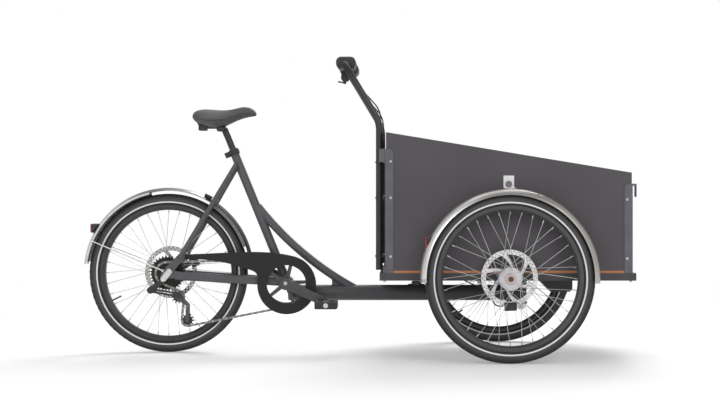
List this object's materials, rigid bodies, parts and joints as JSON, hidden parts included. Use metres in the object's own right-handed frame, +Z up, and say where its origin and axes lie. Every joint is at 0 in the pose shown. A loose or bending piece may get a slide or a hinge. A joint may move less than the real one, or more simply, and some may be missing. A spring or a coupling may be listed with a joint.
{
  "type": "cargo tricycle",
  "caption": "Cargo tricycle with a sloped plywood load box that steers as one with the front wheels by an upright bar, and chain drive to the rear wheel.",
  "frame": {"origin": "on the ground under the middle of the overall length and width", "axes": "+X towards the front, +Y towards the rider's left, +Z up"},
  "size_m": [2.0617, 0.86, 1.109],
  "materials": {
    "frame_paint": "matte charcoal powder coat",
    "guard_paint": "satin near-black",
    "mudguard_metal": "polished",
    "steel": "satin",
    "black_metal": "satin black",
    "hub_metal": "satin",
    "derailleur_metal": "satin dark grey",
    "tyre_rubber": "matte with a pale side stripe",
    "lamp_plastic": "red lens in a black case",
    "pedal_plastic": "moulded",
    "jockey_plastic": "moulded",
    "panel_wood": "film-faced plywood, dark grey-brown faces and bare edges",
    "grip_rubber": "soft matte",
    "saddle_vinyl": "grained vinyl",
    "hose_rubber": "smooth"
  },
  "bodies": {
    "frame": {"main_tube": "frame_paint", "steering_head": "frame_paint", "seat_tube": "frame_paint", "curved_tube": "frame_paint", "bottom_bracket_shell": "frame_paint", "chain_stays": "frame_paint", "seat_stays": "frame_paint", "seat_collar": "black_metal", "rear_mudguard": "mudguard_metal", "rear_mudguard_stays": "steel", "rear_lamp": "lamp_plastic", "chain_guard": "guard_paint", "rear_axle": "steel", "rear_caliper": "black_metal", "derailleur_body": "derailleur_metal", "chain": "steel"},
    "rear_wheel": {"rear_tyre": "tyre_rubber", "rear_rim": "black_metal", "rear_spokes": "steel", "rear_hub": "hub_metal", "rear_brake_disc": "steel"},
    "cassette": {"cassette": "steel"},
    "crank": {"chainring": "black_metal", "crank_arms": "black_metal", "crank_axles": "steel"},
    "pedal_left": {"pedal_left": "pedal_plastic"},
    "pedal_right": {"pedal_right": "pedal_plastic"},
    "seat": {"seat_post": "black_metal", "saddle_rails": "steel", "saddle": "saddle_vinyl"},
    "seat_lever": {"seat_lever": "black_metal"},
    "derailleur_cage": {"derailleur_cage": "derailleur_metal"},
    "jockey_upper": {"jockey_upper": "jockey_plastic"},
    "jockey_lower": {"jockey_lower": "jockey_plastic"},
    "front": {"box_frame": "frame_paint", "axle_beam": "frame_paint", "kingpin": "steel", "floor_panel": "panel_wood", "wall_panels": "panel_wood", "box_bolts": "steel", "handlebar": "frame_paint", "grips": "grip_rubber", "lever_mounts": "black_metal", "front_mudguards": "mudguard_metal", "mudguard_brackets": "steel", "front_calipers": "black_metal", "brake_hoses": "hose_rubber"},
    "front_wheel_left": {"front_left_tyre": "tyre_rubber", "front_left_rim": "black_metal", "front_left_spokes": "steel", "front_left_hub": "hub_metal", "front_left_brake_disc": "steel"},
    "front_wheel_right": {"front_right_tyre": "tyre_rubber", "front_right_rim": "black_metal", "front_right_spokes": "steel", "front_right_hub": "hub_metal", "front_right_brake_disc": "steel"},
    "brake_lever_left": {"brake_lever_left": "black_metal"},
    "brake_lever_right": {"brake_lever_right": "black_metal"},
    "shift_lever": {"shift_lever": "black_metal"}
  },
  "joints": [
    {"name": "steering", "type": "hinge", "parent": "frame", "child": "front", "pos_m": [0.636, 0, 0.29], "axis": [0, 0, 1], "range_deg": [-35, 35]},
    {"name": "rear_wheel_spin", "type": "hinge", "parent": "frame", "child": "rear_wheel", "pos_m": [-0.7075, 0, 0.302], "axis": [0, 1, 0], "continuous": true},
    {"name": "front_wheel_left_spin", "type": "hinge", "parent": "front", "child": "front_wheel_left", "pos_m": [0.57, 0.39, 0.302], "axis": [0, 1, 0], "continuous": true},
    {"name": "front_wheel_right_spin", "type": "hinge", "parent": "front", "child": "front_wheel_right", "pos_m": [0.57, -0.39, 0.302], "axis": [0, 1, 0], "continuous": true},
    {"name": "crank_spin", "type": "hinge", "parent": "frame", "child": "crank", "pos_m": [-0.256, 0, 0.266], "axis": [0, 1, 0], "continuous": true},
    {"name": "cassette_spin", "type": "hinge", "parent": "frame", "child": "cassette", "pos_m": [-0.7075, -0.0444, 0.302], "axis": [0, 1, 0], "continuous": true},
    {"name": "pedal_left_spin", "type": "hinge", "parent": "crank", "child": "pedal_left", "pos_m": [-0.41329, 0.12, 0.34271], "axis": [0, 1, 0], "continuous": true},
    {"name": "pedal_right_spin", "type": "hinge", "parent": "crank", "child": "pedal_right", "pos_m": [-0.09871, -0.12, 0.18929], "axis": [0, 1, 0], "continuous": true},
    {"name": "seat_height", "type": "slide", "parent": "frame", "child": "seat", "axis": [-0.3778, 0, 0.9259], "range_m": [-0.05, 0.1]},
    {"name": "seat_clamp", "type": "hinge", "parent": "frame", "child": "seat_lever", "pos_m": [-0.48453, -0.0143, 0.75057], "axis": [0.3778, 0, -0.9259], "range_deg": [0, 150]},
    {"name": "derailleur_tension", "type": "hinge", "parent": "frame", "child": "derailleur_cage", "pos_m": [-0.6575, -0.0444, 0.222], "axis": [0, 1, 0], "range_deg": [-4, 12], "stiffness_Nm_per_rad": 2, "deforming": ["chain"]},
    {"name": "jockey_upper_spin", "type": "hinge", "parent": "derailleur_cage", "child": "jockey_upper", "pos_m": [-0.665, -0.0444, 0.214], "axis": [0, 1, 0], "continuous": true},
    {"name": "jockey_lower_spin", "type": "hinge", "parent": "derailleur_cage", "child": "jockey_lower", "pos_m": [-0.629, -0.0444, 0.125], "axis": [0, 1, 0], "continuous": true},
    {"name": "brake_lever_left_pull", "type": "hinge", "parent": "front", "child": "brake_lever_left", "pos_m": [0.0038, 0.209, 1.03297], "axis": [-0.8339, 0, -0.5519], "range_deg": [0, 10], "stiffness_Nm_per_rad": 1.5},
    {"name": "brake_lever_right_pull", "type": "hinge", "parent": "front", "child": "brake_lever_right", "pos_m": [0.0038, -0.209, 1.03297], "axis": [0.8339, 0, 0.5519], "range_deg": [0, 10], "stiffness_Nm_per_rad": 1.5},
    {"name": "shift_lever_push", "type": "hinge", "parent": "front", "child": "shift_lever", "pos_m": [-0.026, -0.051, 1.078], "axis": [-0.1392, 0, -0.9903], "range_deg": [0, 25], "stiffness_Nm_per_rad": 0.5}
  ],
  "couplings": [
    {"joint": "cassette_spin", "follows": "crank_spin", "ratio": 2.0952},
    {"joint": "jockey_upper_spin", "follows": "crank_spin", "ratio": -4},
    {"joint": "jockey_lower_spin", "follows": "crank_spin", "ratio": 4}
  ]
}
